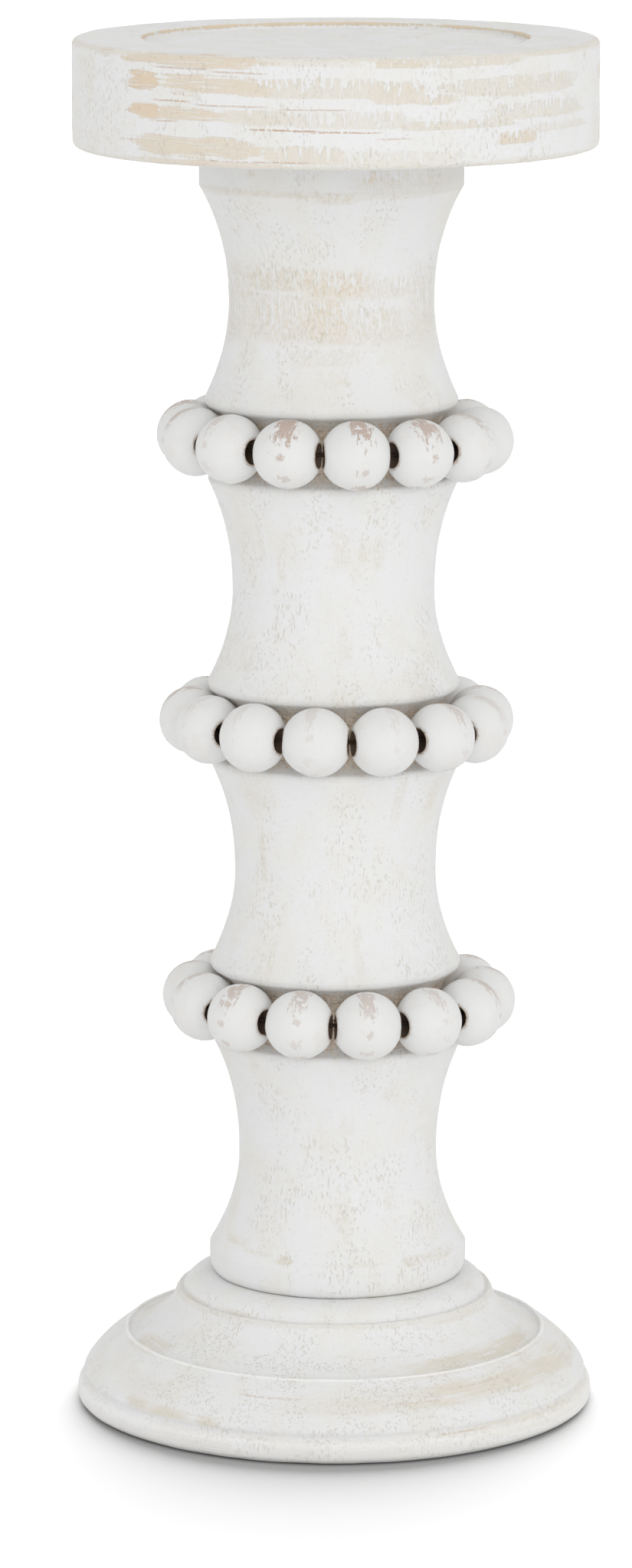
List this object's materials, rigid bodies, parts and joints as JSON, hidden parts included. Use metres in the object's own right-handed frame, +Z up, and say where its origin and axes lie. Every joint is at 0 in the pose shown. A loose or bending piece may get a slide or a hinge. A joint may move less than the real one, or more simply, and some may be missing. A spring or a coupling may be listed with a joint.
{
  "type": "wooden candlestick",
  "caption": "Turned wooden pillar candle holder in distressed white paint, with a round foot, a stacked spool column, a wide candle plate and loose bead strings in its grooves.",
  "frame": {"origin": "middle of the foot's underside, on the surface it stands on", "axes": "+Z up along the column to the candle plate; -Y is the front, where the middle beads of each string face; +X to the right seen from the front"},
  "size_m": [0.1212, 0.1212, 0.3208],
  "materials": {
    "plate_paint": "chalky white brushed paint, worn through to tan wood in bands round the edge",
    "spool_paint": "chalky white brushed paint with fine pits and faint beige wear; bare brown wood in the grooves",
    "foot_paint": "chalky white brushed paint, worn to beige along the turned lines and the lower rim",
    "bead_paint": "satin white paint, sanded through to pinkish brown in patches round the middle of each bead",
    "bare_wood": "raw, unpainted",
    "cord": "dark waxed thread",
    "screw_steel": "zinc plated, satin"
  },
  "bodies": {
    "root": {"foot": "foot_paint", "foot_screw": "screw_steel", "spool_bottom": "spool_paint", "spool_lower": "spool_paint", "spool_upper": "spool_paint", "spool_top": "spool_paint", "candle_plate": "plate_paint", "dowel_lower": "bare_wood", "dowel_middle": "bare_wood", "dowel_upper": "bare_wood", "dowel_plate": "bare_wood"},
    "bead_string_lower": {"bead_lower_01": "bead_paint", "bead_lower_02": "bead_paint", "bead_lower_03": "bead_paint", "bead_lower_04": "bead_paint", "bead_lower_05": "bead_paint", "bead_lower_06": "bead_paint", "bead_lower_07": "bead_paint", "bead_lower_08": "bead_paint", "bead_lower_09": "bead_paint", "bead_lower_10": "bead_paint", "bead_lower_11": "bead_paint", "bead_lower_12": "bead_paint", "bead_lower_13": "bead_paint", "cord_lower": "cord"},
    "bead_string_middle": {"bead_middle_01": "bead_paint", "bead_middle_02": "bead_paint", "bead_middle_03": "bead_paint", "bead_middle_04": "bead_paint", "bead_middle_05": "bead_paint", "bead_middle_06": "bead_paint", "bead_middle_07": "bead_paint", "bead_middle_08": "bead_paint", "bead_middle_09": "bead_paint", "bead_middle_10": "bead_paint", "bead_middle_11": "bead_paint", "bead_middle_12": "bead_paint", "bead_middle_13": "bead_paint", "cord_middle": "cord"},
    "bead_string_upper": {"bead_upper_01": "bead_paint", "bead_upper_02": "bead_paint", "bead_upper_03": "bead_paint", "bead_upper_04": "bead_paint", "bead_upper_05": "bead_paint", "bead_upper_06": "bead_paint", "bead_upper_07": "bead_paint", "bead_upper_08": "bead_paint", "bead_upper_09": "bead_paint", "bead_upper_10": "bead_paint", "bead_upper_11": "bead_paint", "bead_upper_12": "bead_paint", "bead_upper_13": "bead_paint", "cord_upper": "cord"}
  },
  "joints": [
    {"name": "turn_lower_beads", "type": "hinge", "parent": "root", "child": "bead_string_lower", "pos_m": [0.001, 0, 0.096], "axis": [0.014, 0.0227, 0.9996], "continuous": true},
    {"name": "turn_middle_beads", "type": "hinge", "parent": "root", "child": "bead_string_middle", "pos_m": [0.0007, 0, 0.1622], "axis": [0.0122, 0.0227, 0.9997], "continuous": true},
    {"name": "turn_upper_beads", "type": "hinge", "parent": "root", "child": "bead_string_upper", "pos_m": [0, 0, 0.2284], "axis": [0.014, 0.0175, 0.9998], "continuous": true}
  ]
}
